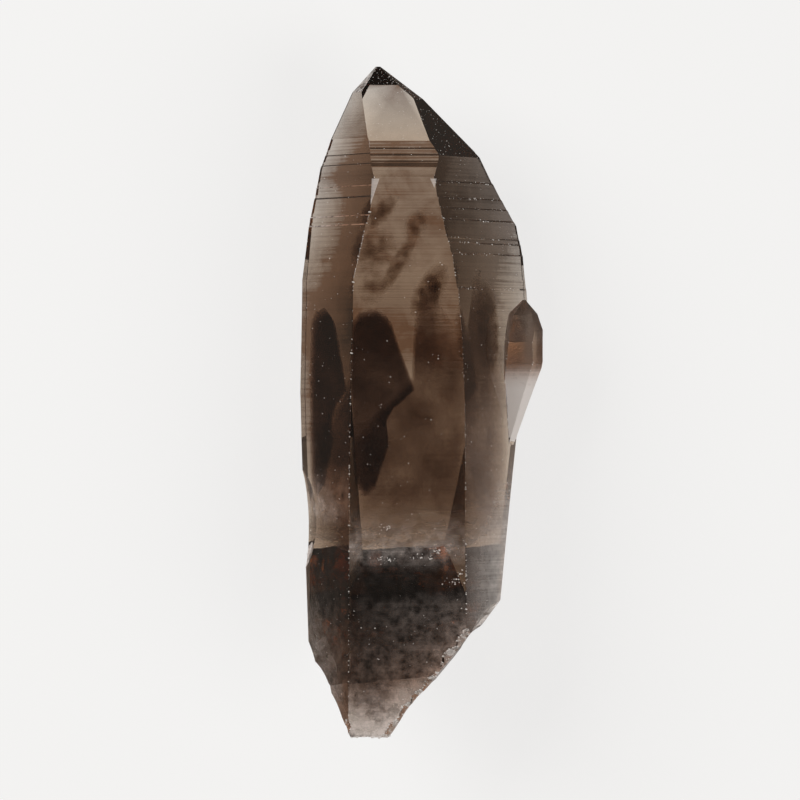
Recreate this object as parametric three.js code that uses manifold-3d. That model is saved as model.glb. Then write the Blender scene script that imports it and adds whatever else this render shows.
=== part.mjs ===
// A smoky quartz crystal lying on one of its prism faces.
// A tapered six-sided prism with stepped growth ledges and a rhombohedral point,
// a small parallel crystal grown on its right edge, and a broken, chipped foot, all one solid.
// Millimetres, +Z up. +Y runs along the crystal from foot to tip, and +X is to the right seen from above.
import * as THREE from "three";
import { mergeVertices } from "three/addons/utils/BufferGeometryUtils.js";
import Module from "manifold-3d";

const wasm = await Module();
wasm.setup();

// Driving dimensions
const LENGTH = 160; // from the broken foot to the tip
const FRONT = 18.8; // from the crystal's axis up to the front prism face
const BACK = 23.4; // from the axis down to the prism face that the crystal rests on
const RHOMB_LEAN = Math.tan(THREE.MathUtils.degToRad(38.2)); // how far a ledge leans in for its height
const TIP = [LENGTH, 0.5]; // where every side ends, on the small flat worn on the tip
const RUN_ON = 12; // the sides run on this far below the foot, where the fractures cut them off
const REACH = 90; // past every side, for blocks that are cut away

// The six sides of the main crystal, whose axis runs from its foot along +Y to the tip.
// azimuth is the way a side faces, counted from +X towards +Z. profile has its corners from the foot to the
// tip, each a height, a distance from the axis and, where a growth ledge steps in, the depth of the ledge.
const MAIN_FOOT = { x: 0, y: 0, z: 0 };
const MAIN_SIDES = [
  {
    azimuth: 90, // front, which looks up
    profile: [
      [-RUN_ON, FRONT],
      [133.0, FRONT, 0.5],
      [135.3, 17.5, 0.35],
      [136.6, 16.8, 0.3],
      [138.1, 16.2, 0.4],
      [139.7, 15.6, 0.3],
      [141.7, 15.1],
      [155.6, 4.5],
      TIP,
    ],
  },
  {
    azimuth: 30, // front right
    profile: [
      [-RUN_ON, 27.7],
      [79.0, 27.3],
      [95.0, 26.7],
      [106.6, 25.9, 0.3],
      [114.8, 24.7, 0.3],
      [117.4, 24.1, 0.25],
      [118.6, 23.7, 0.2],
      [122.9, 22.9, 0.3],
      [125.7, 22.3, 0.25],
      [128.1, 21.8, 0.25],
      [131.9, 21.2, 0.3],
      [138.2, 20.6],
      [152.1, 10.9],
      TIP,
    ],
  },
  {
    azimuth: -30, // back right, which draws in towards the foot
    profile: [
      [-RUN_ON, 15.0],
      [104.0, 36.1],
      [115.5, 35.7],
      [122.0, 34.7],
      [139.8, 20.3],
      [152.1, 7.7],
      TIP,
    ],
  },
  {
    azimuth: -90, // back, which lies on the ground
    profile: [
      [-RUN_ON, BACK],
      [106.0, BACK],
      [112.0, 21.9],
      [133.0, 13.6],
      [153.0, 5.5],
      TIP,
    ],
  },
  {
    azimuth: -150, // back left
    profile: [
      [-RUN_ON, 11.2],
      [82.0, 17.4],
      [124.0, 17.0],
      [135.5, 14.2],
      [153.6, 4.3],
      TIP,
    ],
  },
  {
    azimuth: 150, // front left
    profile: [
      [-RUN_ON, 15.5],
      [70.0, 15.2],
      [109.0, 14.4],
      [121.7, 11.9, 0.25],
      [123.9, 11.3, 0.2],
      [128.3, 10.7, 0.3],
      [131.0, 10.4, 0.15],
      [136.2, 9.9, 0.2],
      [138.6, 9.6, 0.2],
      [142.6, 9.3],
      [153.7, 6.4],
      TIP,
    ],
  },
];

// The small crystal on the right edge. Its axis runs beside the main one, with heights from its lower end.
const SMALL_FOOT = { x: 35.0, y: 69.0, z: -2.0 };
const SMALL_LENGTH = 35.2;
const SMALL_TIP = [SMALL_LENGTH, 0.3];
const SMALL_SIDES = [
  { azimuth: 90, profile: [[0, 2.4], [25.1, 4.6, 0.2], [31.5, 2.6], SMALL_TIP] },
  { azimuth: 30, profile: [[0, -2.2], [20.4, 3.9], [28.0, 3.9], [31.8, 2.8], SMALL_TIP] },
  { azimuth: -30, profile: [[0, -2.6], [19.0, 3.8], [28.0, 3.9], [31.8, 2.8], SMALL_TIP] },
  { azimuth: -90, profile: [[0, 1.6], [26.0, 4.4], [31.5, 2.5], SMALL_TIP] },
  { azimuth: -150, profile: [[0, 3.4], [25.4, 5.4], [31.6, 3.4], SMALL_TIP] },
  { azimuth: 150, profile: [[0, 4.2], [9.0, 6.4], [25.4, 5.6], [31.6, 3.5], SMALL_TIP] },
];

// The broken foot. A fracture has one plane or two, each through a point and facing outwards, and the stone
// outside all of its planes is gone. Shell-shaped scoops are spread over a plane, up to along from its point
// level with the ground and up to deep towards it, and chips along the edge where it meets the front.
const ROUGH_BITE = [0.5, 1.3]; // how far the middle of a scoop goes into a rough break
const SMOOTH_BITE = [0.05, 0.2]; // and into a smooth one
const RIGHT_BREAK = {
  through: [17.8, 16.9, -6],
  outward: [0.78, -0.62, 0.08],
  along: 26,
  deep: 20,
  bite: ROUGH_BITE,
  scoops: 22,
  chips: 40,
};
const LEFT_BREAK = {
  through: [-10.9, 10.6, 4],
  outward: [-0.88, -0.48, -0.06],
  along: 13,
  deep: 14,
  bite: ROUGH_BITE,
  scoops: 10,
  chips: 10,
};
const STEEP_BACK_BREAK = {
  through: [3, 29, -6.1],
  outward: [0.05, -0.74, -0.67],
  along: 18,
  deep: 12,
  bite: SMOOTH_BITE,
  scoops: 12,
};
const FLAT_BACK_BREAK = {
  through: [-2, 5, 13.5],
  outward: [0, -0.3, -0.95],
};
const END_BREAK = {
  through: [-2.5, -0.6, FRONT],
  outward: [0.03, -0.99, -0.12],
  along: 3,
  deep: 4,
  bite: ROUGH_BITE,
  scoops: 2,
  chips: 2,
};
const FRACTURES = [[RIGHT_BREAK], [LEFT_BREAK], [STEEP_BACK_BREAK, FLAT_BACK_BREAK], [END_BREAK]];
const SCOOP_RADIUS = [7, 14]; // across, smallest and largest
const SCOOP_FLATNESS = 0.3; // a scoop's thickness to its width
const CHIP_RADIUS = [1.6, 3.6]; // of the chips along the foot's upper edges
const CHIP_BITE = [0.5, 1.6];

const BALL_FACET = 1.6; // about the size of the facets of a scoop or a chip

// A flake that broke off the left edge: a point on the edge, the way its scar faces, and the scar's scoop
const FLAKE = {
  through: [-17.8, 51.5, -0.4],
  outward: [-0.95, 0, 0.31],
  radius: 14,
  flatness: 0.25,
  bite: 1.6,
};

const UP = new THREE.Vector3(0, 0, 1);

// A repeatable number between two, so that the breakage is the same in every build
let drawn = 20;
function between([low, high]) {
  drawn = (drawn * 16807) % 2147483647;
  return low + ((high - low) * drawn) / 2147483647;
}

// A box, ball or extrusion as a closed solid
function solidOf(geometry) {
  geometry.deleteAttribute("normal");
  geometry.deleteAttribute("uv");
  const merged = mergeVertices(geometry, 1e-4);
  return new wasm.Manifold(
    new wasm.Mesh({
      numProp: 3,
      vertProperties: merged.attributes.position.array,
      triVerts: new Uint32Array(merged.index.array),
    }),
  );
}

// One side of a crystal: all that lies behind its stepped profile, which is drawn out sideways
function sideSolid({ azimuth, profile }, foot) {
  const corners = profile.flatMap(([height, distance, ledge]) => {
    const corner = new THREE.Vector2(distance, height);
    return ledge ? [corner, new THREE.Vector2(distance - ledge, height + ledge / RHOMB_LEAN)] : [corner];
  });
  const lowest = new THREE.Vector2(-REACH, corners.at(0).y);
  const highest = new THREE.Vector2(-REACH, corners.at(-1).y);
  const shape = new THREE.Shape([lowest, ...corners, highest]);
  const drawnOut = new THREE.ExtrudeGeometry(shape, { depth: 2 * REACH, bevelEnabled: false });
  drawnOut.translate(0, 0, -REACH);
  drawnOut.rotateY(THREE.MathUtils.degToRad(-azimuth));
  drawnOut.translate(foot.x, foot.y, foot.z);
  return solidOf(drawnOut);
}

// A crystal is what lies behind all of its sides.
function crystalSolid(sides, foot) {
  const solids = sides.map((side) => sideSolid(side, foot));
  return solids.reduce((crystal, solid) => crystal.intersect(solid));
}

// The block outside a plane of a fracture
function fractureBlock({ through, outward }) {
  const block = new THREE.BoxGeometry(2 * REACH, 2 * REACH, 2 * REACH);
  block.translate(0, 0, REACH);
  block.applyQuaternion(new THREE.Quaternion().setFromUnitVectors(UP, outward));
  block.translate(...through);
  return solidOf(block);
}

// A ball, flattened along an axis, that takes a shell-shaped bite out of the stone at a point
function biteSolid(point, axis, radius, flatness, bite) {
  const ball = new THREE.IcosahedronGeometry(radius, Math.ceil(radius / BALL_FACET));
  ball.scale(1, 1, flatness);
  ball.applyQuaternion(new THREE.Quaternion().setFromUnitVectors(UP, axis));
  const centre = point.clone().addScaledVector(axis, radius * flatness - bite);
  ball.translate(...centre);
  return solidOf(ball);
}

// The scoops over a plane of a fracture and the chips along its upper edge, where it meets the front face
function fractureBites({ through, outward, along, deep, bite, scoops = 0, chips = 0 }) {
  const level = UP.clone().cross(outward).normalize();
  const down = outward.clone().cross(level);
  const toFront = (FRONT - through.z) / down.z;
  const upAndOut = outward.clone().add(UP).normalize();
  const bites = [];
  for (let i = 0; i < scoops; i += 1) {
    const scoop = through.clone();
    scoop.addScaledVector(level, between([-along, along]));
    scoop.addScaledVector(down, between([-deep, deep]));
    bites.push(biteSolid(scoop, outward, between(SCOOP_RADIUS), SCOOP_FLATNESS, between(bite)));
  }
  for (let i = 0; i < chips; i += 1) {
    const chip = through.clone();
    chip.addScaledVector(level, between([-along, along]));
    chip.addScaledVector(down, toFront);
    bites.push(biteSolid(chip, upAndOut, between(CHIP_RADIUS), 1, between(CHIP_BITE)));
  }
  return bites;
}

// A break with its point and direction as vectors
function placed(damage) {
  const through = new THREE.Vector3(...damage.through);
  const outward = new THREE.Vector3(...damage.outward).normalize();
  return { ...damage, through, outward };
}

function breakFoot(crystal) {
  const fractures = FRACTURES.map((planes) => planes.map(placed));
  const blocks = fractures.map((planes) => {
    const outsides = planes.map(fractureBlock);
    return outsides.reduce((block, outside) => block.intersect(outside));
  });
  const cuts = [...blocks, ...fractures.flat().flatMap(fractureBites)];
  return cuts.reduce((stone, cut) => stone.subtract(cut), crystal);
}

function breakFlake(crystal) {
  const { through, outward, radius, flatness, bite } = placed(FLAKE);
  return crystal.subtract(biteSolid(through, outward, radius, flatness, bite));
}

const mainCrystal = breakFlake(breakFoot(crystalSolid(MAIN_SIDES, MAIN_FOOT)));
const smallCrystal = crystalSolid(SMALL_SIDES, SMALL_FOOT);
const { vertProperties, triVerts } = mainCrystal.add(smallCrystal).getMesh();

const geometry = new THREE.BufferGeometry();
geometry.setAttribute("position", new THREE.BufferAttribute(vertProperties, 3));
geometry.setIndex(new THREE.BufferAttribute(triVerts, 1));
const smokyQuartz = new THREE.MeshStandardMaterial({ color: 0x5b4a3e, roughness: 0.15, metalness: 0 });
const crystal = new THREE.Mesh(geometry, smokyQuartz);
crystal.name = "smoky_quartz_crystal";

// The origin is under the middle of the crystal, on the ground.
const box = new THREE.Box3().setFromObject(crystal);
const middle = box.getCenter(new THREE.Vector3());
crystal.position.set(-middle.x, -middle.y, -box.min.z);

const part = new THREE.Group();
part.add(crystal);

export default part;
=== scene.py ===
# %% [markdown]
# # A smoky quartz crystal
#
# This lesson dresses one natural crystal: a tapered six-sided prism of clear brown quartz with a pointed
# tip, a small crystal grown on its right edge and a broken foot. Its solid is already made and comes in as
# a frame. What is left for Blender is everything that light does with it: how it bends at the faces,
# darkens in the smoky zones inside, glints on the growth lines and scatters in the cloudy cracks.

# %% Load the frame
import math
import random

import bmesh
import bpy
from mathutils import Matrix, Vector, noise


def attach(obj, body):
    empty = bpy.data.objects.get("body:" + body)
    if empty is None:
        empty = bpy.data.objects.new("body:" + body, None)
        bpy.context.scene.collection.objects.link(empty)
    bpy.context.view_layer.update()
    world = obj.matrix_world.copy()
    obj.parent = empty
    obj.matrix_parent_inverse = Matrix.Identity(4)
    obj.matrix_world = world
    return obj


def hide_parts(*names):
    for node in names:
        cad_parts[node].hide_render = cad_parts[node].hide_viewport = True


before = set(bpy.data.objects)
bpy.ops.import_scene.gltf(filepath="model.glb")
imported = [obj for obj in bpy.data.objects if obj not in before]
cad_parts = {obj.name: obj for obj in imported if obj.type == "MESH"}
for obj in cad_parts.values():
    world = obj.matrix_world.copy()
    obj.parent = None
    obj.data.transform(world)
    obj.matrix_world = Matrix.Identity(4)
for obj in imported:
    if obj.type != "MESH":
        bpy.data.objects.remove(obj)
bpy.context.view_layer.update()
MM = 0.001

# %% [markdown]
# ## A frame of reference on the crystal
#
# A crystal has one natural axis, the line from its foot to its tip, and everything on it is easiest to
# place by that line: so far along it, so far to the right, so far up. The tip is a corner of the solid, so
# it can be found again in the mesh instead of being typed in. `at` then turns places on the crystal, in
# millimetres, into Blender's metres, and `on_crystal` turns them back.

# %% Find the axis
LENGTH = 160
SAME_PLACE = 0.001 * MM  # corners closer than this are one
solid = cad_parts["smoky_quartz_crystal"]
highest = max(v.co.y for v in solid.data.vertices)
tip_corners = [v.co for v in solid.data.vertices if v.co.y > highest - SAME_PLACE]
TIP = sum(tip_corners, Vector()) / len(tip_corners)
FOOT = TIP - Vector((0, LENGTH * MM, 0))


def at(x, y, z):
    return FOOT + Vector((x, y, z)) * MM


def on_crystal(point):
    return (point - FOOT) / MM


print("foot of the axis in mm:", [round(c / MM, 2) for c in FOOT])

# %% [markdown]
# ## Camera
#
# The crystal lies on a face, and the picture to match looks straight at the face on the other side. So the
# camera hangs above it and looks straight down, with the tip towards the top of the frame. It hangs high
# and has a long lens: the closer a camera is, the more it widens what is near to it, and a stone
# photographed to show its true form is taken from further away.

# %% Camera over the front face
CAMERA_HEIGHT = 1.6
VIEW_WIDTH = 191.4 * MM  # what the frame takes in, at the level of the axis
VIEW_CENTRE = (5.26, 80.26)  # right of the axis and along it, in mm
SENSOR = 36
FARTHEST = 20  # how far the camera sees, in metres

scene = bpy.context.scene
camera_data = bpy.data.cameras.new("camera")
camera = bpy.data.objects.new("camera", camera_data)
scene.collection.objects.link(camera)
scene.camera = camera
camera.location = at(*VIEW_CENTRE, 0)
camera.location.z = CAMERA_HEIGHT
camera_data.sensor_width = SENSOR
camera_data.lens = SENSOR * (CAMERA_HEIGHT - FOOT.z) / VIEW_WIDTH
camera_data.clip_end = FARTHEST
print("lens in mm:", round(camera_data.lens, 1))

# %% [markdown]
# ## Colours and nodes
#
# Colours are given as sRGB hex values, the way a colour picker gives them. Shaders work with linear
# light, so one function converts them. A second small function adds a node to a material, sets its sockets
# and links them: with it a whole material reads as a list of what feeds what.


# %% Helpers for every material
def linear(hex_colour):
    parts = [int(hex_colour[i:i + 2], 16) / 255 for i in (1, 3, 5)]
    return [c / 12.92 if c <= 0.04045 else ((c + 0.055) / 1.055) ** 2.4 for c in parts] + [1.0]


# A socket goes by its name, such as Base_Color, or by its number, such as _1
def add_node(material, kind, settings=None, **sockets):
    node = material.node_tree.nodes.new(kind)
    for name, value in (settings or {}).items():
        setattr(node, name, value)
    for name, value in sockets.items():
        socket = node.inputs[int(name[1:])] if name[1:].isdigit() else node.inputs[name.replace("_", " ")]
        if isinstance(value, bpy.types.NodeSocket):
            material.node_tree.links.new(value, socket)
        else:
            socket.default_value = value
    return node


def new_material(name):
    material = bpy.data.materials.new(name)
    material.use_nodes = True
    material.node_tree.nodes.clear()
    return material


print("mid grey in linear light:", [round(c, 3) for c in linear("#808080")])

# %% [markdown]
# ## Floor and light
#
# Clear stones are shown on a light table, because they live from the light that comes through them. So the
# floor is a grey one that glows evenly, which makes it pale. Its glow would also mirror in the slanting
# sides and wash out their brown. In a studio, black card beside the stone keeps such a mirror image off. In
# Blender the floor is kept out of mirror images, and the sides mirror a dim, warm room instead. Two large
# soft lights from the sides, one stronger than the other, draw the edges, the growth lines and the dust.

# %% Glowing floor
FLOOR_REACH = 3.0  # from its middle to its edge, in metres
FLOOR_GAP = 0.3 * MM  # under the crystal, so that no two faces lie in one plane
FLOOR_GLOW = 0.72

# Matt grey board, lit from below, so that it reads as a plain pale ground
floor_board = new_material("glowing_floor")
board = add_node(
    floor_board, "ShaderNodeBsdfPrincipled",
    Base_Color=linear("#8a8a88"), Roughness=0.7, Specular_IOR_Level=0.1,
    Emission_Color=linear("#ffffff"), Emission_Strength=FLOOR_GLOW,
)
add_node(floor_board, "ShaderNodeOutputMaterial", Surface=board.outputs["BSDF"])
bm = bmesh.new()
bmesh.ops.create_grid(bm, x_segments=1, y_segments=1, size=FLOOR_REACH)
bmesh.ops.translate(bm, verts=bm.verts, vec=(0, 0, -FLOOR_GAP))
floor_mesh = bpy.data.meshes.new("floor")
bm.to_mesh(floor_mesh)
bm.free()
floor_mesh.materials.append(floor_board)
floor = bpy.data.objects.new("floor", floor_mesh)
floor.visible_glossy = False
scene.collection.objects.link(floor)
print("floor is", 2 * FLOOR_REACH, "m wide")


# %% Soft lights and a dim room
def soft_light(name, place, size, watts):
    lamp_data = bpy.data.lights.new(name, "AREA")
    lamp_data.shape = "SQUARE"
    lamp_data.size = size
    lamp_data.energy = watts
    lamp = bpy.data.objects.new(name, lamp_data)
    lamp.location = place
    lamp.rotation_euler = (-lamp.location).to_track_quat("-Z", "Y").to_euler()
    scene.collection.objects.link(lamp)


LIGHT_SIZE = 0.8
soft_light("left_light", place=(-0.9, 0.5, 0.9), size=LIGHT_SIZE, watts=9.5)
soft_light("right_light", place=(0.9, -0.5, 1.0), size=LIGHT_SIZE, watts=7.4)

ROOM_COLOUR = linear("#6d645c")
room = bpy.data.worlds.new("room")
scene.world = room
room.use_nodes = True
room.node_tree.nodes["Background"].inputs["Color"].default_value = ROOM_COLOUR
scene.view_settings.view_transform = "Standard"
BOUNCES = 24  # light crosses many faces and zones on its way through
COAT_BOUNCES = 32
scene.cycles.max_bounces = BOUNCES
scene.cycles.transmission_bounces = BOUNCES
scene.cycles.transparent_max_bounces = COAT_BOUNCES

# %% [markdown]
# ## The crystal's body
#
# A solid from CAD arrives as loose triangles. Its corners are merged first, and then the triangles of each
# flat face are dissolved into one polygon, because real crystal faces are flat mirrors and a stray edge
# would show. The CAD object is left as it is: all work is done on a copy.

# %% Merge a copy of the solid
FLAT = math.radians(0.5)


def merged_copy():
    bm = bmesh.new()
    bm.from_mesh(solid.data)
    bmesh.ops.remove_doubles(bm, verts=bm.verts, dist=SAME_PLACE)
    return bm


def dissolve_flat(bm):
    bmesh.ops.dissolve_limit(bm, angle_limit=FLAT, verts=bm.verts, edges=bm.edges)


bm = merged_copy()
dissolve_flat(bm)
print("faces after merging:", len(bm.faces))

# %% [markdown]
# ### Which faces are broken
#
# A quartz prism has six sides, 60 degrees apart. Whatever near the foot doesn't look the way of one of them
# is a fracture. The long slanting fracture under the foot is as smooth as glass, and the others are rough.
# A face layer carries that to the material, which frosts the rough ones.

# %% Sort grown faces from broken ones
SIDES = [Vector((math.cos(a), 0, math.sin(a))) for a in (math.radians(30 + 60 * i) for i in range(6))]
RIGHT, FRONT, LEFT, BACK_LEFT, BACK, BACK_RIGHT = SIDES
SMOOTH_BREAK = Vector((0.05, -0.74, -0.67))  # the way that the smooth fracture looks
FOOT_END = 46  # fractures lie below this height
SIDE_SPREAD = math.cos(math.radians(14))
BREAK_SPREAD = math.cos(math.radians(24))
ON_GROUND = 0.5 * MM  # of the faces that look down, only those below this level were grown


def is_broken(face):
    middle = face.calc_center_median()
    if on_crystal(middle).y > FOOT_END or face.normal.dot(SMOOTH_BREAK) > BREAK_SPREAD:
        return False
    grown_sides = [side for side in SIDES if side is not BACK or middle.z < ON_GROUND]
    return not any(face.normal.dot(side) > SIDE_SPREAD for side in grown_sides)


broken_layer = bm.faces.layers.float.new("broken")
bm.normal_update()
for face in bm.faces:
    face[broken_layer] = 1.0 if is_broken(face) else 0.0
print("broken faces:", sum(face[broken_layer] > 0.5 for face in bm.faces), "of", len(bm.faces))

# %% [markdown]
# ### Edges that catch the light
#
# No edge of a stone that was handled is perfectly sharp. The long edges between the sides get a bevel of
# about a tenth of a millimetre: too small to see as a shape, but enough to draw a fine bright line.

# %% Bevel the long edges
EDGE_BEVEL = 0.12 * MM
LEAST_LENGTH = 1.2 * MM
LEAST_TURN = math.radians(25)  # between the faces on both sides of an edge
LENGTHWISE = 0.85  # how closely an edge follows the axis: 1 is parallel to it


def follows_axis(edge):
    return abs((edge.verts[0].co - edge.verts[1].co).normalized().y)


def is_long_edge(edge):
    if len(edge.link_faces) != 2 or edge.calc_length() < LEAST_LENGTH:
        return False
    if any(face[broken_layer] > 0.5 for face in edge.link_faces):
        return False
    return follows_axis(edge) > LENGTHWISE and edge.calc_face_angle() > LEAST_TURN


long_edges = [edge for edge in bm.edges if is_long_edge(edge)]
bmesh.ops.bevel(
    bm, geom=long_edges, offset=EDGE_BEVEL, offset_type="OFFSET", affect="EDGES",
    segments=2, profile=0.5, material=-1, clamp_overlap=False,
)
print("bevelled edges:", len(long_edges), "faces now:", len(bm.faces))

# %% [markdown]
# ### Growth lines
#
# Quartz grows in thin layers, and the rims of the layers stay on the sides as fine level lines. They could
# be drawn as bump alone, but then they would vanish at the outline. A plane cut across the crystal gives a
# ring of edges, and a ring that is drawn in by a few hundredths of a millimetre tilts the strips above and
# below it. Each strip then bends light its own way. The lines crowd together near the point.

# %% Cut rings and draw them in
RING_FIRST = 4
RING_LAST = 141
RING_SPACING = (0.8, 4.0)  # least and most at the foot, in mm
RING_CROWDING = 0.7  # share of the spacing that is lost on the way up
RING_DEPTH = 0.0005  # the most that a ring is drawn in, as a share of its width


def cut(bm, place, facing, **settings):
    everything = bm.verts[:] + bm.edges[:] + bm.faces[:]
    parted = bmesh.ops.bisect_plane(bm, geom=everything, plane_co=place, plane_no=facing, **settings)
    return parted["geom_cut"]


draw = random.Random(160)  # a seed, so that every run gives the same stone
height = RING_FIRST
rings = 0
while height < RING_LAST:
    centre = at(0, height, 0)
    ring = cut(bm, centre, (0, 1, 0))
    for edge in ring:
        if isinstance(edge, bmesh.types.BMEdge):
            edge.smooth = False
    corners = [v for v in ring if isinstance(v, bmesh.types.BMVert)]
    inward = 1 - RING_DEPTH * draw.random()
    bmesh.ops.scale(bm, verts=corners, vec=(inward, 1, inward), space=Matrix.Translation(-centre))
    risen = (height - RING_FIRST) / (RING_LAST - RING_FIRST)
    height += draw.uniform(*RING_SPACING) * (1 - RING_CROWDING * risen)
    rings += 1
print("rings:", rings, "faces now:", len(bm.faces))

# %% [markdown]
# ### Rough fractures
#
# Broken quartz looks like broken glass: shells within shells, down to splinters. The solid has the large
# shells. Dividing their edges with a little fractal displacement adds the splinters, and it is left off the
# rim so that the grown faces beside them stay flat.

# %% Splinter the fractures
SPLINTERING = 0.09  # displacement as a share of an edge's length
splinter_edges = [
    edge for edge in bm.edges
    if len(edge.link_faces) == 2 and all(face[broken_layer] > 0.5 for face in edge.link_faces)
]
bmesh.ops.subdivide_edges(
    bm, edges=splinter_edges, cuts=1, fractal=SPLINTERING, along_normal=0.8, seed=3, use_grid_fill=True,
)
bmesh.ops.triangulate(bm, faces=[face for face in bm.faces if face[broken_layer] > 0.5])
print("faces with splinters:", len(bm.faces))

# %% [markdown]
# ### Sectors of the crystal, and painted shade
#
# Smoky quartz isn't evenly brown. Each side grew its own sector, and some took up more of what turns brown.
# A layer on the corners of the faces holds how dark the stone is there, from the smoke of the sector and
# from painted shade: it may change along a side, and it may jump from one side to the next, as sectors do.
# The right side is dark and the facet above it almost black, both partly with painted shade, and the facets
# of the point are the clearest. A short table for each side is enough, with a height and a value at each
# turn and straight lines between them.

# %% How smoky each side is along the crystal, with its painted shade
SMOKE_AND_PAINTED_SHADE = {  # height in mm and darkness from smoke and painted shade: 1 is brown, 2 almost black
    "front": [
        (0, 0.2), (6, 0.45), (14, 0.85), (26, 0.6), (44, 0.3), (52, 0.4), (58, 0.7), (64, 0.72), (72, 0.62),
        (84, 0.7), (92, 0.92), (100, 0.92), (110, 0.76), (118, 0.82), (128, 0.8), (136, 0.72),
    ],
    "left": [
        (0, 0.6), (54, 0.6), (60, 0.9), (66, 1.1), (73, 1.2), (85, 1.3), (97, 1.45), (104, 1.4),
        (111, 1.05), (118, 0.95), (126, 0.85), (131, 1.0), (133.5, 1.25), (136, 1.0), (140, 0.75),
        (150, 0.3),
    ],
    "right": [
        (0, 0.1), (49, 0.1), (61, 0.4), (73, 0.5), (85, 0.8), (93, 1.0), (100, 0.9), (108, 1.15),
        (113, 1.25), (120, 1.45), (126, 1.7), (130, 1.95), (133, 1.85), (138, 1.6),
    ],
}
ALMOST_BLACK = 2.0
PAINTED_SHADE_ACROSS = {  # middle of a side by height, in mm right of the axis, and painted shade gained per mm to the right
    "left": ([(0, -12.5), (104, -11.5), (139, -7.0)], 0.085),
    "right": ([(0, 26.0), (100, 26.0), (126, 23.0), (138, 20.0)], -0.06),
}
SMALL_CRYSTAL = [(66, 27.5), (80, 27.4), (98, 26.6), (104, 26.2)]  # height, and how far out it begins
SMALL_CRYSTAL_SMOKE = [(84, 0.0), (89, 0.95), (93, 1.0), (95, 0.8), (105, 0.8)]


def along(steps, height):
    for (low, first), (high, second) in zip(steps, steps[1:]):
        if height <= high:
            return first + (second - first) * max(0.0, height - low) / (high - low)
    return steps[-1][1]


print("smoke halfway up:", {side: round(along(steps, LENGTH / 2), 2) for side, steps in SMOKE_AND_PAINTED_SHADE.items()})

# %% Which side a face belongs to
TOWARDS = 0.75  # a face looks a side's way when its normal is this close to it: 1 is parallel
FRONT_TOWARDS = 0.9
LEDGE_TOWARDS = 0.7  # ledges lean further away
TIP_TOWARDS = 0.6  # and the facets of the tip further still
LOOKS = {"front": (FRONT, FRONT_TOWARDS), "left": (LEFT, TOWARDS), "right": (RIGHT, TOWARDS)}
LEDGE_LEAN = 0.35  # a ledge looks up towards the tip at least this much
LEDGE_AREA = 30 * MM * MM


def looks(face, way, least=TOWARDS):
    return face.normal.dot(way) > least


def side_of(face):
    return next((side for side, (way, least) in LOOKS.items() if looks(face, way, least)), None)


def side_value(table, face, height):
    side = side_of(face)
    return along(table[side], height) if side else 0.0


def on_small_crystal(face):
    middle = on_crystal(face.calc_center_median())
    outward = Vector((middle.x, 0, middle.z)).dot(RIGHT)
    return middle.y > FOOT_END and outward > along(SMALL_CRYSTAL, middle.y)


def is_ledge(face):
    return face.normal.y > LEDGE_LEAN and face.calc_area() < LEDGE_AREA


print("faces on the small crystal:", sum(on_small_crystal(face) for face in bm.faces))

# %% How smoky one place is, with its painted shade
TIP_BEGINS = 155.4
TIP_SMOKE = 1.0
UPPER_RIGHT = 138.3  # the dark facet begins at this height
# Painted shade: the facet above the right side is darkened in its tint
UPPER_RIGHT_PAINTED_SHADE = 0.98
STEPS = (135.4, 141.7)  # heights between which the front is stepped
# Painted shade on the front's steps and their rims: it draws them as dark lines
STEP_PAINTED_SHADE = 0.85
LEDGE_PAINTED_SHADE = 1.8  # painted shade on the rims of the front's steps
UNDER_STEPS = 132.5  # a plain facet lies between this height and the steps
UNDER_STEPS_SMOKE = 0.76


# Painted shade across a side: the left side darkens towards its right edge, and the right side lightens
# outwards
def painted_shade_across_side(face, place):
    middles, gain = PAINTED_SHADE_ACROSS.get(side_of(face), ([(0, 0), (LENGTH, 0)], 0.0))
    return gain * (place.x - along(middles, place.y))


def smoke_and_painted_shade_of(face, place):
    if on_small_crystal(face):
        return along(SMALL_CRYSTAL_SMOKE, place.y)
    if place.y > TIP_BEGINS:
        return 0.0 if looks(face, LEFT, TIP_TOWARDS) else TIP_SMOKE
    if looks(face, RIGHT) and place.y > UPPER_RIGHT:
        return UPPER_RIGHT_PAINTED_SHADE
    if looks(face, FRONT, LEDGE_TOWARDS):
        if UNDER_STEPS < place.y < STEPS[0]:
            return UNDER_STEPS_SMOKE
        if is_ledge(face):
            return LEDGE_PAINTED_SHADE
        if STEPS[0] < place.y < STEPS[1]:
            return STEP_PAINTED_SHADE
    return side_value(SMOKE_AND_PAINTED_SHADE, face, place.y) + painted_shade_across_side(face, place)


bm.normal_update()
print("ledges:", sum(is_ledge(face) for face in bm.faces))

# %% [markdown]
# ### Dust and fine lines
#
# Two more layers say how much white lies on a face and how strong its fine growth lines are. The foot, the
# breaks and the lower half of the small crystal are white with dust and tiny cracks, the right side turns
# milky towards its outer edge, and the upper sides are clean and finely lined.

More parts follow.
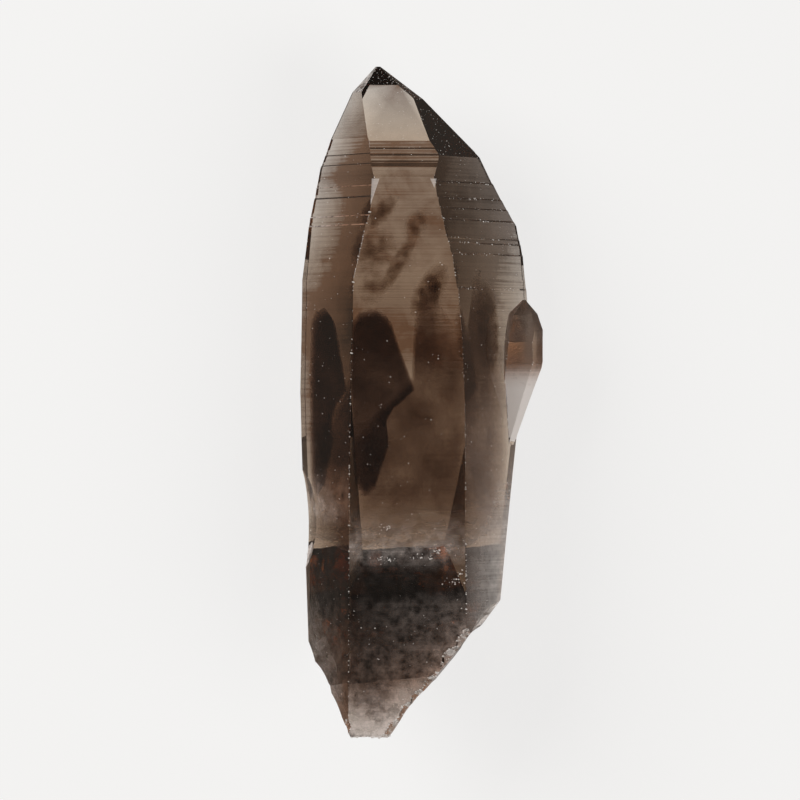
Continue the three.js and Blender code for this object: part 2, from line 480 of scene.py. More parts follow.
# %% How dusty and how finely lined each side is
HAZE = {  # height in mm and share of white
    "front": [
        (0, 0.7), (6, 0.45), (14, 0.15), (24, 0.05), (36, 0.012), (40.5, 0.03), (43, 0.2), (45, 0.3),
        (47, 0.2), (52, 0.06), (56, 0.01), (136, 0.01),
    ],
    "left": [
        (0, 0.3), (10, 0.2), (20, 0.14), (28, 0.08), (36, 0.02), (50, 0.02), (54, 0.28), (60, 0.22),
        (64, 0.0),
    ],
    "right": [
        (0, 0.42), (40, 0.38), (44, 0.4), (48, 0.35), (54, 0.22), (61, 0.16), (73, 0.14), (80, 0.1),
        (100, 0.05), (110, 0.0),
    ],
}
LINED = {  # height in mm and strength of the fine growth lines
    "front": [(0, 0.2), (135, 0.2), (136, 1.0), (141, 1.0), (142, 0.0)],
    "left": [(0, 0.2), (110, 0.3), (120, 0.4), (145, 0.4), (152, 0.1)],
    "right": [(0, 0.2), (90, 0.3), (105, 0.5), (140, 0.5)],
}
SMALL_CRYSTAL_HAZE = [
    (70, 2.0), (82, 1.6), (87, 0.9), (89, 0.42), (91, 0.3), (95, 0.22), (98, 0.12), (105, 0.1),
]
print("white at the foot:", {side: steps[0][1] for side, steps in HAZE.items()})

# %% How dusty one place is
SEAM_HAZE = 0.8  # where the small crystal meets the large one
SEAM_TURN = 0.3  # faces that look to the right less than this lie at the seam
BREAK_HAZE = 0.4
RIM_HAZE = 0.8  # on breaks that look up
LOOKS_UP = 0.25
TIP_HAZE = 0.6  # on the left facet of the tip
TIP_FACET_BEGINS = TIP_BEGINS - 2
WHITE_LEDGES = (121.9, 124.1, 131.2)  # heights of the ledges on the left side that look white
WHITE_LEDGE_REACH = 0.5
WHITE_LEDGE_HAZE = 0.9
LEFT_LEDGE_HAZE = 0.1
RIGHT_LEDGE_HAZE = 0.12
RIGHT_LEDGES_END = UPPER_RIGHT - 1
MILKY_BELOW = 66  # below this height the right side turns milky towards its outer edge
MILKY_FADE = 15  # over so many mm
MILKY_FROM = 25.5
MILKY_GAIN = 0.05  # per mm to the right


def haze_of(face, place):
    if on_small_crystal(face):
        seam = 0.0 if looks(face, RIGHT, SEAM_TURN) else SEAM_HAZE
        return max(seam, along(SMALL_CRYSTAL_HAZE, place.y))
    if face[broken_layer] > 0.5:
        return RIM_HAZE if face.normal.z > LOOKS_UP else BREAK_HAZE
    if place.y > TIP_FACET_BEGINS and looks(face, LEFT, TIP_TOWARDS) and not looks(face, LEFT):
        return TIP_HAZE
    if is_ledge(face) and looks(face, LEFT, LEDGE_TOWARDS):
        nearest = min(abs(place.y - height) for height in WHITE_LEDGES)
        return WHITE_LEDGE_HAZE if nearest < WHITE_LEDGE_REACH else LEFT_LEDGE_HAZE
    if is_ledge(face) and looks(face, RIGHT, LEDGE_TOWARDS) and place.y < RIGHT_LEDGES_END:
        return RIGHT_LEDGE_HAZE
    haze = side_value(HAZE, face, place.y)
    if looks(face, RIGHT) and place.y < MILKY_BELOW:
        gain = MILKY_GAIN * min(1.0, (MILKY_BELOW - place.y) / MILKY_FADE)
        haze = max(0.0, haze + gain * (place.x - MILKY_FROM))
    return haze


print("white ledges:", len(WHITE_LEDGES))

# %% Write smoke with painted shade, painted sheen, haze, lines and frost on the faces
CORNER_INSET = 0.02  # a corner's values are read this share of the way to the middle of its face
SMALL_CRYSTAL_FROST = 88  # below this height the small crystal is frosted
SMALL_CRYSTAL_ROUGH = 0.9
DULL_BACK = 72  # below this height the slanting back sides are dull
DULL_BACK_ROUGH = 1.0
BACK_TOWARDS = 0.9
smoke_and_painted_shade_layer = bm.loops.layers.float.new("smoke_and_painted_shade")
haze_layer = bm.loops.layers.float.new("haze")
lined_layer = bm.loops.layers.float.new("lined")
frost_layer = bm.faces.layers.float.new("frost")
painted_sheen_layer = bm.faces.layers.float.new("painted_sheen")
bm.normal_update()
for face in bm.faces:
    middle = on_crystal(face.calc_center_median())
    for corner in face.loops:
        place = on_crystal(corner.vert.co).lerp(middle, CORNER_INSET)
        corner[smoke_and_painted_shade_layer] = min(ALMOST_BLACK, max(0.0, smoke_and_painted_shade_of(face, place)))
        corner[haze_layer] = haze_of(face, place)
        corner[lined_layer] = side_value(LINED, face, place.y)
    # Painted sheen: a grey-violet tint on the right side and the small crystal, in place of the sheen of
    # reflected light
    face[painted_sheen_layer] = 1.0 if looks(face, RIGHT) or on_small_crystal(face) else 0.0
    on_back = looks(face, BACK_LEFT, BACK_TOWARDS) or looks(face, BACK_RIGHT, BACK_TOWARDS)
    if on_small_crystal(face):
        face[frost_layer] = 1.0 if middle.y < SMALL_CRYSTAL_FROST else SMALL_CRYSTAL_ROUGH
    elif middle.y < DULL_BACK and on_back:
        face[frost_layer] = DULL_BACK_ROUGH
print("frosted faces:", sum(face[frost_layer] > 0.0 for face in bm.faces))

# %% Make the crystal an object
SHARP = math.radians(8)
CUBIC_CM = 1e-6
for edge in bm.edges:
    if len(edge.link_faces) == 2 and edge.calc_face_angle() > SHARP:
        edge.smooth = False
for face in bm.faces:
    face.smooth = True
open_edges = sum(len(edge.link_faces) != 2 for edge in bm.edges)
crystal_mesh = bpy.data.meshes.new("smoky_quartz_point")
bm.to_mesh(crystal_mesh)
volume = bm.calc_volume()
bm.free()
crystal = bpy.data.objects.new("smoky_quartz_point", crystal_mesh)
scene.collection.objects.link(crystal)
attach(crystal, "root")
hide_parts("smoky_quartz_crystal")
print("open edges:", open_edges, "volume in cm3:", round(volume / CUBIC_CM, 1))

# %% [markdown]
# ## Smoky quartz
#
# Quartz is clear, with an IOR of 1.544, and a grown face is as smooth as glass. The brown is inside: light
# loses blue first and red last on its way through, which is what volume absorption does. It is given as
# what is left of white light after a known depth, so the thick parts darken by themselves. The sectors add
# to it: each face passes on light in the tint of the sector behind it, brown at first, then almost black.
# That tint carries painted shade too, and on the right side and the small crystal a painted grey sheen.

# %% Absorption from a colour and a depth
HEADROOM = 1.25  # keeps the absorption colour above black


def absorption(left_over, depth):
    losses = [-math.log(c) / depth for c in linear(left_over)[:3]]
    density = HEADROOM * max(losses)
    return [1 - loss / density for loss in losses] + [1.0], density


# Smoky quartz: clear stone that turns tan to dark brown with depth, with glossy grown faces
quartz = new_material("smoky_quartz_natural_faces")
QUARTZ_IOR = 1.544
colour, density = absorption(left_over="#c0a58a", depth=42 * MM)
smoke_depth = add_node(quartz, "ShaderNodeVolumeAbsorption", Color=colour, Density=density)
print("absorption density per metre:", round(density, 1))

# %% Patterns on the faces, from real sizes
CLOUD = 9 * MM  # soft clouds in the stone
LINE_PITCH = 0.4 * MM  # fine growth lines, drawn as coarse as they need to show
LINE_LENGTH = 40 * MM
GRIT = 0.5 * MM  # grain of a frosted break

place = add_node(quartz, "ShaderNodeTexCoord").outputs["Object"]
cloud = add_node(
    quartz, "ShaderNodeTexNoise", Vector=place, Scale=1 / CLOUD, Detail=4.0, Roughness=0.6, Distortion=0.4,
)
line_place = add_node(
    quartz, "ShaderNodeMapping", Vector=place, Scale=(1 / LINE_LENGTH, 1 / LINE_PITCH, 1 / LINE_LENGTH),
)
lines = add_node(quartz, "ShaderNodeTexNoise", Vector=line_place.outputs[0], Scale=1.0, Detail=2.0)
grit = add_node(quartz, "ShaderNodeTexNoise", Vector=place, Scale=1 / GRIT, Detail=3.0)
print("patterns per metre:", round(1 / CLOUD), round(1 / LINE_PITCH), round(1 / GRIT))

# %% Smoke and painted shade from the sectors, with the clouds and the lines
PATTERN_SHARE = 0.5
smoke_and_painted_shade = add_node(quartz, "ShaderNodeAttribute", {"attribute_name": "smoke_and_painted_shade"}).outputs["Fac"]
lined = add_node(quartz, "ShaderNodeAttribute", {"attribute_name": "lined"}).outputs["Fac"]
cloud_smoke = add_node(
    quartz, "ShaderNodeMapRange", Value=cloud.outputs["Fac"],
    From_Min=0.42, From_Max=0.75, To_Min=0.0, To_Max=0.5,
)
line_smoke = add_node(
    quartz, "ShaderNodeMapRange", Value=lines.outputs["Fac"],
    From_Min=0.45, From_Max=0.7, To_Min=-0.2, To_Max=0.7,
)
patterns = add_node(
    quartz, "ShaderNodeMath", {"operation": "MULTIPLY_ADD"},
    _0=line_smoke.outputs[0], _1=lined, _2=cloud_smoke.outputs[0],
)
all_smoke_and_painted_shade = add_node(
    quartz, "ShaderNodeMath", {"operation": "MULTIPLY_ADD"},
    _0=patterns.outputs[0], _1=PATTERN_SHARE, _2=smoke_and_painted_shade,
)
past_brown = add_node(
    quartz, "ShaderNodeMath", {"operation": "SUBTRACT", "use_clamp": True}, _0=all_smoke_and_painted_shade.outputs[0], _1=1.0,
)
print("nodes for the smoke:", len(quartz.node_tree.nodes))

# %% Tint, with painted shade and a painted grey sheen
broken = add_node(quartz, "ShaderNodeAttribute", {"attribute_name": "broken"}).outputs["Fac"]
frost = add_node(quartz, "ShaderNodeAttribute", {"attribute_name": "frost"}).outputs["Fac"]
painted_sheen = add_node(quartz, "ShaderNodeAttribute", {"attribute_name": "painted_sheen"}).outputs["Fac"]
rough_share = add_node(quartz, "ShaderNodeMath", {"operation": "MAXIMUM"}, _0=broken, _1=frost).outputs[0]
# Brown, turned grey-violet by the painted sheen on the right side and the small crystal
brown_and_painted_sheen = add_node(
    quartz, "ShaderNodeMix", {"data_type": "RGBA"}, _0=painted_sheen, _6=linear("#593f31"), _7=linear("#4f4744"),
)
brown_tint = add_node(
    quartz, "ShaderNodeMix", {"data_type": "RGBA"},
    _0=all_smoke_and_painted_shade.outputs[0], _6=linear("#ffffff"), _7=brown_and_painted_sheen.outputs[2],
)
smoke_and_painted_shade_tint = add_node(
    quartz, "ShaderNodeMix", {"data_type": "RGBA"},
    _0=past_brown.outputs[0], _6=brown_tint.outputs[2], _7=linear("#120c09"),
)
frost_tint = add_node(
    quartz, "ShaderNodeMix", {"data_type": "RGBA"},
    _0=rough_share, _6=smoke_and_painted_shade_tint.outputs[2], _7=linear("#b3a498"),
)
print("nodes with the tint:", len(quartz.node_tree.nodes))

# %% Roughness, relief and the finished stone
LINE_RELIEF = 0.012 * MM
GRIT_RELIEF = 0.15 * MM
roughness = add_node(quartz, "ShaderNodeMapRange", Value=rough_share, To_Min=0.03, To_Max=0.42)
line_relief = add_node(
    quartz, "ShaderNodeBump", Height=lines.outputs["Fac"], Strength=0.5, Distance=LINE_RELIEF,
)
relief = add_node(
    quartz, "ShaderNodeBump", Height=grit.outputs["Fac"], Strength=rough_share, Distance=GRIT_RELIEF,
    Normal=line_relief.outputs[0],
)
skin = add_node(
    quartz, "ShaderNodeBsdfPrincipled",
    Base_Color=frost_tint.outputs[2], Roughness=roughness.outputs[0], Normal=relief.outputs[0],
    IOR=QUARTZ_IOR, Transmission_Weight=1.0,
)
add_node(
    quartz, "ShaderNodeOutputMaterial", Surface=skin.outputs["BSDF"], Volume=smoke_depth.outputs["Volume"],
)
crystal_mesh.materials.append(quartz)
print("nodes in the quartz:", len(quartz.node_tree.nodes))

# %% [markdown]
# ## Smoke and painted shade inside
#
# Near the middle of the crystal hang dark tongues with a clear edge: partly zones where the quartz took up
# more smoke, partly painted shade for the dark that the faces show by refraction. Colour on the surface
# would slide over such a zone when the eye moves. A closed body inside the stone keeps its place: its skin
# doesn't bend light, because it has the IOR of what is around it, and its inside only absorbs. The body is
# an outline, filled, raised and divided, and noise makes it thicker here and thinner there.

# %% A zone from its outline
REFINE_ROUNDS = 6
ZONE_GRID = 2.5 * MM
ZONE_PATCH = 8 * MM  # size of the thicker and thinner patches
FINE_PATCH = 3  # times as fine, at half the strength
FINE_STRENGTH = 0.5
THINNEST = 0.05  # no patch is thinner than this share


def refine(bm, size):
    for _ in range(REFINE_ROUNDS):
        too_long = [edge for edge in bm.edges if edge.calc_length() > size]
        bmesh.ops.subdivide_edges(bm, edges=too_long, cuts=1)
        bmesh.ops.triangulate(bm, faces=bm.faces)


def smoke_and_painted_shade_zone(bm, outline, low, high, top_share, uneven):
    rim = [bm.verts.new(at(x, y, low)) for x, y in outline]
    base = bmesh.ops.contextual_create(bm, geom=rim)["faces"]
    raised = bmesh.ops.extrude_face_region(bm, geom=base)["geom"]
    top = [v for v in raised if isinstance(v, bmesh.types.BMVert)]
    middle = sum((v.co for v in top), Vector()) / len(top)
    bmesh.ops.translate(bm, verts=top, vec=(0, 0, (high - low) * MM))
    bmesh.ops.scale(bm, verts=top, vec=(top_share, top_share, 1), space=Matrix.Translation(-middle))
    bmesh.ops.recalc_face_normals(bm, faces=bm.faces)
    refine(bm, ZONE_GRID)
    level = at(0, 0, low).z
    for v in bm.verts:
        patch = v.co / ZONE_PATCH
        swell = noise.noise(patch) + FINE_STRENGTH * noise.noise(FINE_PATCH * patch)
        v.co.z = level + (v.co.z - level) * max(THINNEST, 1 + uneven * swell)


print("zones are divided to", round(ZONE_GRID / MM, 1), "mm")


# %% A piece inside or on the stone
def add_piece(name, bm, material):
    mesh = bpy.data.meshes.new(name)
    bm.to_mesh(mesh)
    bm.free()
    mesh.materials.append(material)
    for polygon in mesh.polygons:
        polygon.use_smooth = True
    piece = bpy.data.objects.new(name, mesh)
    scene.collection.objects.link(piece)
    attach(piece, "root")
    print(name, "faces:", len(mesh.polygons))


# Smoke and painted shade in the stone: the same clear quartz, only darker, so that nothing but its colour
# shows
def smoke_and_painted_shade_material(name, left_over, depth):
    material = new_material(name)
    colour, density = absorption(left_over, depth)
    loss = add_node(material, "ShaderNodeVolumeAbsorption", Color=colour, Density=density)
    skin = add_node(
        material, "ShaderNodeBsdfPrincipled",
        Base_Color=(1, 1, 1, 1), Roughness=0.0, IOR=1.0, Transmission_Weight=1.0,
    )
    add_node(
        material, "ShaderNodeOutputMaterial", Surface=skin.outputs["BSDF"], Volume=loss.outputs["Volume"],
    )
    return material


# %% The dark left tongue, of smoke and painted shade
LEFT_TONGUE = [  # right of the axis and along it, in mm
    (-6.4, 99.0), (-4.6, 101.5), (-0.5, 102.3), (2.1, 100.7), (3.6, 98.1), (5.4, 92.3), (7.2, 87.5),
    (8.9, 82.7), (6.0, 80.0), (3.9, 78.4), (2.0, 75.0), (2.6, 69.0), (0.6, 63.1), (-0.8, 58.7),
    (-3.2, 56.8), (-5.6, 60.0), (-6.4, 70.0), (-6.8, 85.0),
]
bm = bmesh.new()
smoke_and_painted_shade_zone(bm, LEFT_TONGUE, low=-19.0, high=-14.5, top_share=0.9, uneven=0.3)
add_piece("dark_smoke_and_shade", bm, smoke_and_painted_shade_material("dark_smoke_and_shade", left_over="#5c4b44", depth=4.5 * MM))

# %% The brown right tongue, of smoke and painted shade, and the smoke under it
RIGHT_TONGUE = [
    (14.7, 110.4), (12.3, 109.3), (10.5, 107.3), (9.4, 103.7), (8.7, 99.9), (8.3, 93.7), (8.0, 86.0),
    (3.0, 80.0), (-3.0, 75.0), (-8.0, 66.0), (-9.0, 54.0), (-8.0, 43.0), (12.0, 42.0), (24.0, 43.0),
    (24.5, 60.0), (24.5, 78.0), (22.5, 92.0), (18.0, 98.0), (15.2, 103.0), (14.9, 108.0),
]
bm = bmesh.new()
smoke_and_painted_shade_zone(bm, RIGHT_TONGUE, low=-13.0, high=-7.0, top_share=0.6, uneven=0.5)
add_piece("brown_smoke_and_shade", bm, smoke_and_painted_shade_material("brown_smoke_and_shade", left_over="#a09086", depth=5 * MM))

# %% [markdown]
# ### Soft clouds
#
# Elsewhere the darkening has no edge: smudges of smoke under the upper front face, a painted shadow where
# the small crystal is rooted and painted shade in the foot. A plain ball would show a rim. One that is
# pressed flat the more, the further it is from its middle, thins out to nothing, and so does its colour.
# Noise in its thickness mottles it.

# %% A cloud from a flattened ball
CLOUD_PATCH = 2 * MM


def smoke_and_painted_shade_cloud(bm, place, size, slant=0, uneven=0.0):
    ball = bmesh.ops.create_icosphere(bm, subdivisions=5, radius=1)["verts"]
    for v in ball:
        v.co.z *= 1 - v.co.xy.length_squared
    turn = Matrix.Rotation(math.radians(slant), 4, "Z")
    stretch = Matrix.Diagonal((*(Vector(size) / 2 * MM), 1))
    bmesh.ops.transform(bm, matrix=Matrix.Translation(at(*place)) @ turn @ stretch, verts=ball)
    level = at(*place).z
    for v in ball:
        swell = noise.noise(v.co / CLOUD_PATCH)
        v.co.z = level + (v.co.z - level) * max(THINNEST, 1 + uneven * swell)


SMUDGES = [  # place and size in mm, and slant in degrees, of the smudges under the upper front face
    ((0.4, 124.6, 12.5), (12, 5, 3.0), 42),
    ((-0.6, 116.0, 12.5), (11, 9, 2.4), 50),
    ((4.8, 112.4, 15.5), (17, 4, 2.4), 60),
    ((9.0, 121.6, 12.5), (8, 5, 2.0), 60),
    ((12.2, 106.2, 12.5), (15, 7, 4.0), 60),
    ((-1.0, 107.0, 12.5), (9, 7, 1.6), 60),
]
bm = bmesh.new()
for place, size, slant in SMUDGES:
    smoke_and_painted_shade_cloud(bm, place, size, slant, uneven=1.6)
add_piece("smudged_smoke", bm, smoke_and_painted_shade_material("smudged_smoke", left_over="#c6bab0", depth=1.6 * MM))

# %% Painted shadow at the small crystal's root and painted shade in the foot
bm = bmesh.new()
smoke_and_painted_shade_cloud(bm, place=(23.5, 97, 2.5), size=(11, 24, 9), uneven=0.6)
add_piece("root_painted_shadow", bm, smoke_and_painted_shade_material("root_painted_shadow", left_over="#b0a296", depth=4 * MM))
bm = bmesh.new()
smoke_and_painted_shade_cloud(bm, place=(5, 29.5, 13), size=(28, 37, 6.5), uneven=0.5)
add_piece("foot_painted_shade", bm, smoke_and_painted_shade_material("foot_painted_shade", left_over="#958a82", depth=5 * MM))
bm = bmesh.new()
smoke_and_painted_shade_cloud(bm, place=(-1.5, 13.5, 15.3), size=(14, 20, 5), uneven=0.8)
add_piece("foot_deep_painted_shade", bm, smoke_and_painted_shade_material("foot_deep_painted_shade", left_over="#6e5d52", depth=4 * MM))

# %% [markdown]
# ## Healed cracks
#
# Across the crystal, a third of the way up, runs a cloudy band: an old crack that healed and kept a veil of
# tiny bubbles. A crack goes right through a stone, so its shape is the stone's own section. A plane cut
# that clears both sides leaves just that outline, which is filled, divided into small triangles and made a
# little wavy. Dividing thin slivers can leave a triangle twice, and the second one is dropped. The bubbles
# are far too small to model, so the sheet is a thin white dust that a noise pattern lets through.

# %% A veil from a section of the solid
VEIL_GRID = 2.4 * MM
LONG_WAVE = 12 * MM
SHORT_WAVE = 4 * MM
SHORT_STRENGTH = 0.4


def drop_repeats(bm):
    seen = set()
    repeats = []
    for face in bm.faces:
        corners = frozenset(face.verts)
        if corners in seen:
            repeats.append(face)
        seen.add(corners)
    bmesh.ops.delete(bm, geom=repeats, context="FACES_ONLY")


def veil_section(place, facing, waves, share):
    bm = merged_copy()
    cut(bm, at(*place), facing, clear_inner=True, clear_outer=True)
    bmesh.ops.triangle_fill(bm, edges=bm.edges, use_beauty=True, use_dissolve=False)
    middle = sum((v.co for v in bm.verts), Vector()) / len(bm.verts)
    bmesh.ops.scale(bm, verts=bm.verts, vec=(share, share, share), space=Matrix.Translation(-middle))
    refine(bm, VEIL_GRID)
    drop_repeats(bm)
    for v in bm.verts:
        wave = noise.noise(v.co / LONG_WAVE) + SHORT_STRENGTH * noise.noise(v.co / SHORT_WAVE)
        v.co += Vector(facing).normalized() * wave * waves * MM
    return bm


print("veils are divided to", round(VEIL_GRID / MM, 1), "mm")

# %% Dust of bubbles, thick and thin
VEIL_BACK = -21  # the dust begins at this level and is full at the next, in mm over the axis
VEIL_FRONT = 12


# Bubble veil: white dust in drifts, which dims what is behind it and glows where light falls on it
def bubble_dust(name, drift, thin, thick):
    material = new_material(name)
    place = add_node(material, "ShaderNodeTexCoord").outputs["Object"]
    drifts = add_node(
        material, "ShaderNodeTexNoise", Vector=place, Scale=1 / drift,
        Detail=7.0, Roughness=0.68, Distortion=0.6,
    )
    dust = add_node(
        material, "ShaderNodeMapRange", Value=drifts.outputs["Fac"],
        From_Min=0.38, From_Max=0.68, To_Min=thin, To_Max=thick,
    )
    level = add_node(material, "ShaderNodeSeparateXYZ", Vector=place).outputs["Z"]
    frontness = add_node(
        material, "ShaderNodeMapRange", Value=level,
        From_Min=at(0, 0, VEIL_BACK).z, From_Max=at(0, 0, VEIL_FRONT).z,
    )
    cover = add_node(
        material, "ShaderNodeMath", {"operation": "MULTIPLY"}, _0=dust.outputs[0], _1=frontness.outputs[0],
    )
    skin = add_node(
        material, "ShaderNodeBsdfPrincipled", Base_Color=linear("#efe9e4"), Roughness=1.0,
        Alpha=cover.outputs[0], IOR=1.3, Transmission_Weight=0.4,
    )
    add_node(material, "ShaderNodeOutputMaterial", Surface=skin.outputs["BSDF"])
    return material


bm = veil_section(place=(8, 50, 0), facing=(-0.07, 1, 0.25), waves=1.2, share=0.98)
add_piece("bubble_veil", bm, bubble_dust("bubble_veil", drift=7 * MM, thin=0.25, thick=1.0))
bm = veil_section(place=(0, 10, 12), facing=(0.3, 1, 0.9), waves=1.2, share=0.95)
add_piece("foot_veil", bm, bubble_dust("foot_veil", drift=5 * MM, thin=0.1, thick=0.8))

# %% [markdown]
# ## Frost and haze
#
# The lower half of the small crystal and the rough breaks are white with tiny splinters, like sugar, and
# the foot and the lower right side are dull with fine scratches. Those faces are copied off the finished
# crystal, lifted by a hair and given a thin white coat. The haze layer on the corners says how thick it is,
# and a noise breaks it up.

# %% Lift a coat off the dull faces
COAT_LIFT = 0.03 * MM
CLEAR = 0.005  # a face with less haze than this stays bare
bm = bmesh.new()
bm.from_mesh(crystal_mesh)
haze_layer = bm.loops.layers.float["haze"]
broken_layer = bm.faces.layers.float["broken"]
clear_faces = [face for face in bm.faces if max(corner[haze_layer] for corner in face.loops) < CLEAR]
bmesh.ops.delete(bm, geom=clear_faces, context="FACES")
bm.normal_update()
for v in bm.verts:
    v.co += v.normal * COAT_LIFT
print("faces with a coat:", len(bm.faces))

# %% Whiten the front towards the rim of the right break
FRONT_LEVEL = 18.83
RIM = at(17.8, 16.9, FRONT_LEVEL)
RIM_OUT = Vector((0.78, -0.62, 0))
RIM_CUTS = (1.5, 4, 7)  # distances from the rim, in mm, at which the coat gets corners of its own
RIM_WHITE = 0.55
RIM_REACH = 9
FLAT_FRONT = 0.95
EVEN_COAT = 0.3  # how mottled the coat of the right side and the small crystal is
for distance in RIM_CUTS:
    cut(bm, RIM - RIM_OUT * distance * MM, RIM_OUT)
mottle_layer = bm.faces.layers.float.new("mottle")
for face in bm.faces:
    even = looks(face, RIGHT) and face[broken_layer] < 0.5
    face[mottle_layer] = EVEN_COAT if even or on_small_crystal(face) else 1.0
    if looks(face, FRONT, FLAT_FRONT):
        for corner in face.loops:
            distance = (RIM - corner.vert.co).dot(RIM_OUT) / MM
            corner[haze_layer] += RIM_WHITE * max(0.0, 1 - distance / RIM_REACH)
print("faces after cutting:", len(bm.faces))

# %% Pale corners under the steps of the front
CHAMFERS = [  # right of the axis and along it, in mm
    [(0.4, 132.6), (-1.4, 132.6), (-1.7, 126.4)],
    [(12.4, 132.6), (13.9, 132.6), (13.4, 130.4)],
]
CHAMFER_HAZE = 0.5
for corners in CHAMFERS:
    rim = [bm.verts.new(at(x, y, FRONT_LEVEL)) for x, y in corners]
    for face in bmesh.ops.contextual_create(bm, geom=rim)["faces"]:
        for corner in face.loops:
            corner[haze_layer] = CHAMFER_HAZE
bm.normal_update()
print("faces with the corners:", len(bm.faces))

# %% White grains
FROST_DRIFT = 2.5 * MM

# Frost: white grains on the stone, thick on the breaks, as thin as breath on the dull faces, and browner
# where they lie over stone darkened by smoke and painted shade
frost_white = new_material("sugary_frost")
place = add_node(frost_white, "ShaderNodeTexCoord").outputs["Object"]
drifts = add_node(
    frost_white, "ShaderNodeTexNoise", Vector=place, Scale=1 / FROST_DRIFT, Detail=8.0, Roughness=0.7,
)
drifted = add_node(
    frost_white, "ShaderNodeMapRange", Value=drifts.outputs["Fac"],
    From_Min=0.38, From_Max=0.66, To_Min=-0.85, To_Max=0.6,
)
mottle = add_node(frost_white, "ShaderNodeAttribute", {"attribute_name": "mottle"}).outputs["Fac"]
uneven = add_node(
    frost_white, "ShaderNodeMath", {"operation": "MULTIPLY_ADD"}, _0=drifted.outputs[0], _1=mottle, _2=1.0,
)
line_place = add_node(
    frost_white, "ShaderNodeMapping", Vector=place,
    Scale=(1 / LINE_LENGTH, 1 / LINE_PITCH, 1 / LINE_LENGTH),
)
lines = add_node(frost_white, "ShaderNodeTexNoise", Vector=line_place.outputs[0], Scale=1.0, Detail=2.0)
lined_white = add_node(
    frost_white, "ShaderNodeMapRange", Value=lines.outputs["Fac"],
    From_Min=0.35, From_Max=0.65, To_Min=0.85, To_Max=1.15,
)
grains = add_node(
    frost_white, "ShaderNodeMath", {"operation": "MULTIPLY"},
    _0=uneven.outputs[0], _1=lined_white.outputs[0],
)
print("nodes for the grains:", len(frost_white.node_tree.nodes))

# %% The finished coat
haze = add_node(frost_white, "ShaderNodeAttribute", {"attribute_name": "haze"}).outputs["Fac"]
smoke_and_painted_shade = add_node(frost_white, "ShaderNodeAttribute", {"attribute_name": "smoke_and_painted_shade"}).outputs["Fac"]
frost_colour = add_node(
    frost_white, "ShaderNodeMix", {"data_type": "RGBA"},
    _0=smoke_and_painted_shade, _6=linear("#f8f2ee"), _7=linear("#a9836c"),
)
cover = add_node(
    frost_white, "ShaderNodeMath", {"operation": "MULTIPLY", "use_clamp": True},
    _0=haze, _1=grains.outputs[0],
)
skin = add_node(
    frost_white, "ShaderNodeBsdfPrincipled", Base_Color=frost_colour.outputs[2], Roughness=1.0,
    Alpha=cover.outputs[0], IOR=1.3, Transmission_Weight=0.15,
)
add_node(frost_white, "ShaderNodeOutputMaterial", Surface=skin.outputs["BSDF"])
add_piece("sugary_frost", bm, frost_white)

# %% [markdown]
# ## Splinters, dust and painted glints
#
# A stone that has been handled carries specks: flakes of quartz in the cracks, chips along the edges and
# dust on the faces. White specks along the edges also stand in for the glints there, as painted highlights.
# Each is a tiny ball of twenty faces, flattened and turned at random, and all are joined in one mesh. The
# random numbers have a seed, so that every run gives the same stone.

# %% A splinter, and places for it
SPLINTER_LENGTH = (0.6, 2.2)  # least and most, as shares of its size
SPLINTER_WIDTH = (0.4, 1.2)
SPLINTER_THICKNESS = 0.35
MOSTLY_SMALL = 2.5  # the higher, the fewer of the large ones


def splinter(bm, place, sizes, draw):
    least, most = sizes
    size = least + (most - least) * draw.random() ** MOSTLY_SMALL
    angle = draw.uniform(0, math.tau)
    axle = Vector([draw.gauss(0, 1) for _ in range(3)]).normalized()
    turn = Matrix.Rotation(angle, 4, axle)
    length = draw.uniform(*SPLINTER_LENGTH)
    width = draw.uniform(*SPLINTER_WIDTH)
    stretch = Matrix.Diagonal((length, width, SPLINTER_THICKNESS, 1))
    bmesh.ops.create_icosphere(
        bm, subdivisions=1, radius=size * MM, matrix=Matrix.Translation(place) @ turn @ stretch,
    )


def along_edges(bm, edges, count, sizes, draw):
    lengths = [edge.calc_length() for edge in edges]
    for edge in draw.choices(edges, lengths, k=count):
        splinter(bm, edge.verts[0].co.lerp(edge.verts[1].co, draw.random()), sizes, draw)


def over_faces(bm, triangles, count, sizes, draw):
    areas = [face.calc_area() for face in triangles]
    for face in draw.choices(triangles, areas, k=count):
        first, second, third = (v.co for v in face.verts)
        place = first.lerp(second.lerp(third, draw.random()), math.sqrt(draw.random()))
        splinter(bm, place, sizes, draw)


print("longest splinter, as a share of its size:", SPLINTER_LENGTH[1])

# %% Splinters and painted glints along the edges
UPRIGHT = 0.9
FRONT_FACE = 0.99
RIGHT_FACE = 0.95


def beside(edge, way, least):
    return any(looks(face, way, least) for face in edge.link_faces)


merged = merged_copy()
dissolve_flat(merged)
merged.normal_update()
seam_edges = [
    edge for edge in merged.edges
    if len({on_small_crystal(face) for face in edge.link_faces}) == 2
]
front_edges = [
    edge for edge in merged.edges
    if follows_axis(edge) > UPRIGHT and beside(edge, FRONT, FRONT_FACE)
]
ledge_edges = [
    edge for edge in merged.edges
    if beside(edge, RIGHT, RIGHT_FACE) and any(is_ledge(face) for face in edge.link_faces)
]
rim_edges = [
    edge for edge in merged.edges
    if beside(edge, FRONT, FRONT_FACE) and any(is_broken(face) for face in edge.link_faces)
]
draw = random.Random(549)
bm = bmesh.new()
along_edges(bm, seam_edges, count=70, sizes=(0.04, 0.14), draw=draw)
# Along the front edges, the right side's ledges and the rim of the break, the specks are partly chips and
# partly painted highlights
along_edges(bm, front_edges, count=320, sizes=(0.04, 0.22), draw=draw)
along_edges(bm, ledge_edges, count=280, sizes=(0.03, 0.24), draw=draw)
along_edges(bm, rim_edges, count=160, sizes=(0.05, 0.3), draw=draw)
print("edges of the front, the ledges and the rim:", len(front_edges), len(ledge_edges), len(rim_edges))

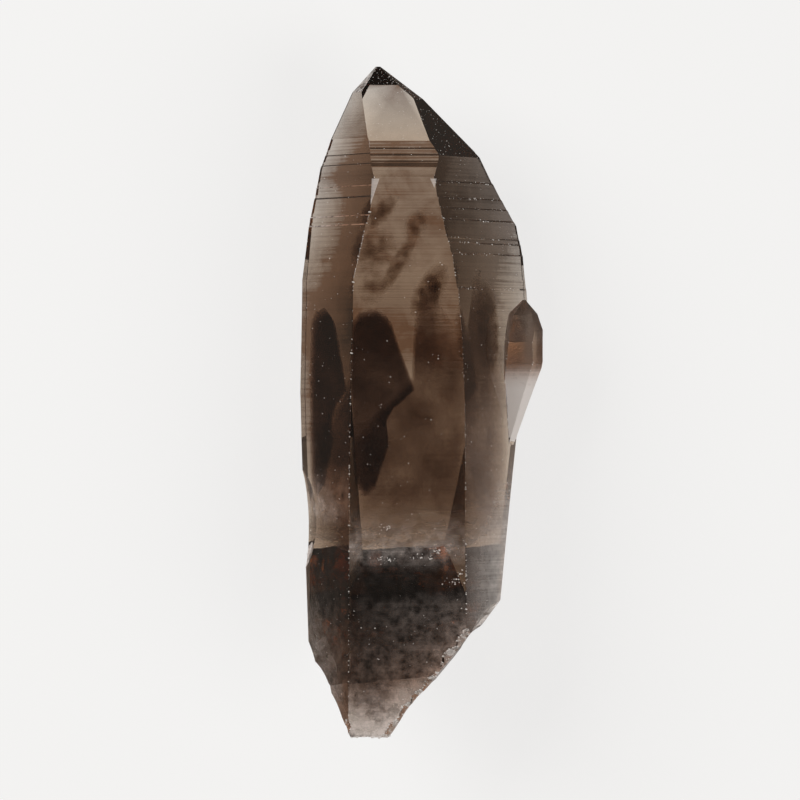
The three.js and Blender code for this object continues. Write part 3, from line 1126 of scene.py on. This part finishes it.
# %% Dust on the faces
SEEN_FROM_ABOVE = 0.3
TIP_FACET_LEAN = 0.4  # facets of the point look towards the tip at least this much


def height_of(face):
    return on_crystal(face.calc_center_median()).y


bmesh.ops.triangulate(merged, faces=merged.faces)
merged.normal_update()
upper_faces = [face for face in merged.faces if face.normal.z > SEEN_FROM_ABOVE]
dark_facets = [
    face for face in upper_faces
    if height_of(face) > UPPER_RIGHT and face.normal.y > TIP_FACET_LEAN
    and not looks(face, LEFT, TIP_TOWARDS)
]
tip_facets = [face for face in dark_facets if height_of(face) > TIP_BEGINS]
rim_faces = [face for face in upper_faces if is_broken(face)]
over_faces(bm, upper_faces, count=650, sizes=(0.03, 0.15), draw=draw)
over_faces(bm, dark_facets, count=240, sizes=(0.04, 0.13), draw=draw)
over_faces(bm, tip_facets, count=90, sizes=(0.04, 0.12), draw=draw)
over_faces(bm, rim_faces, count=260, sizes=(0.06, 0.3), draw=draw)
merged.free()
print("triangles so far:", len(bm.faces))

# %% Flecks where the veil meets the front
VEIL_FLECKS = [(14.6, 44.6), (10.8, 43.2), (0.5, 42.5), (1.9, 50.0), (20.3, 38.9), (18.2, 37.2)]
FLECKS = 22  # in each place
FLECK_SPREAD = (1.3, 0.5)  # across and along, in mm
FLECK_SIZES = (0.03, 0.3)
for x, y in VEIL_FLECKS:
    for _ in range(FLECKS):
        right = x + draw.gauss(0, FLECK_SPREAD[0])
        up = y + draw.gauss(0, FLECK_SPREAD[1])
        splinter(bm, at(right, up, FRONT_LEVEL), FLECK_SIZES, draw)

# Quartz splinters: broken edges all round, so they look white where the whole stone looks brown. Along the
# edges they also stand in for glints, as painted highlights
splinter_and_glint_white = new_material("quartz_splinters_and_painted_glints")
skin = add_node(
    splinter_and_glint_white, "ShaderNodeBsdfPrincipled", Base_Color=linear("#f4f0ec"), Roughness=0.5,
)
add_node(splinter_and_glint_white, "ShaderNodeOutputMaterial", Surface=skin.outputs["BSDF"])
add_piece("splinters", bm, splinter_and_glint_white)
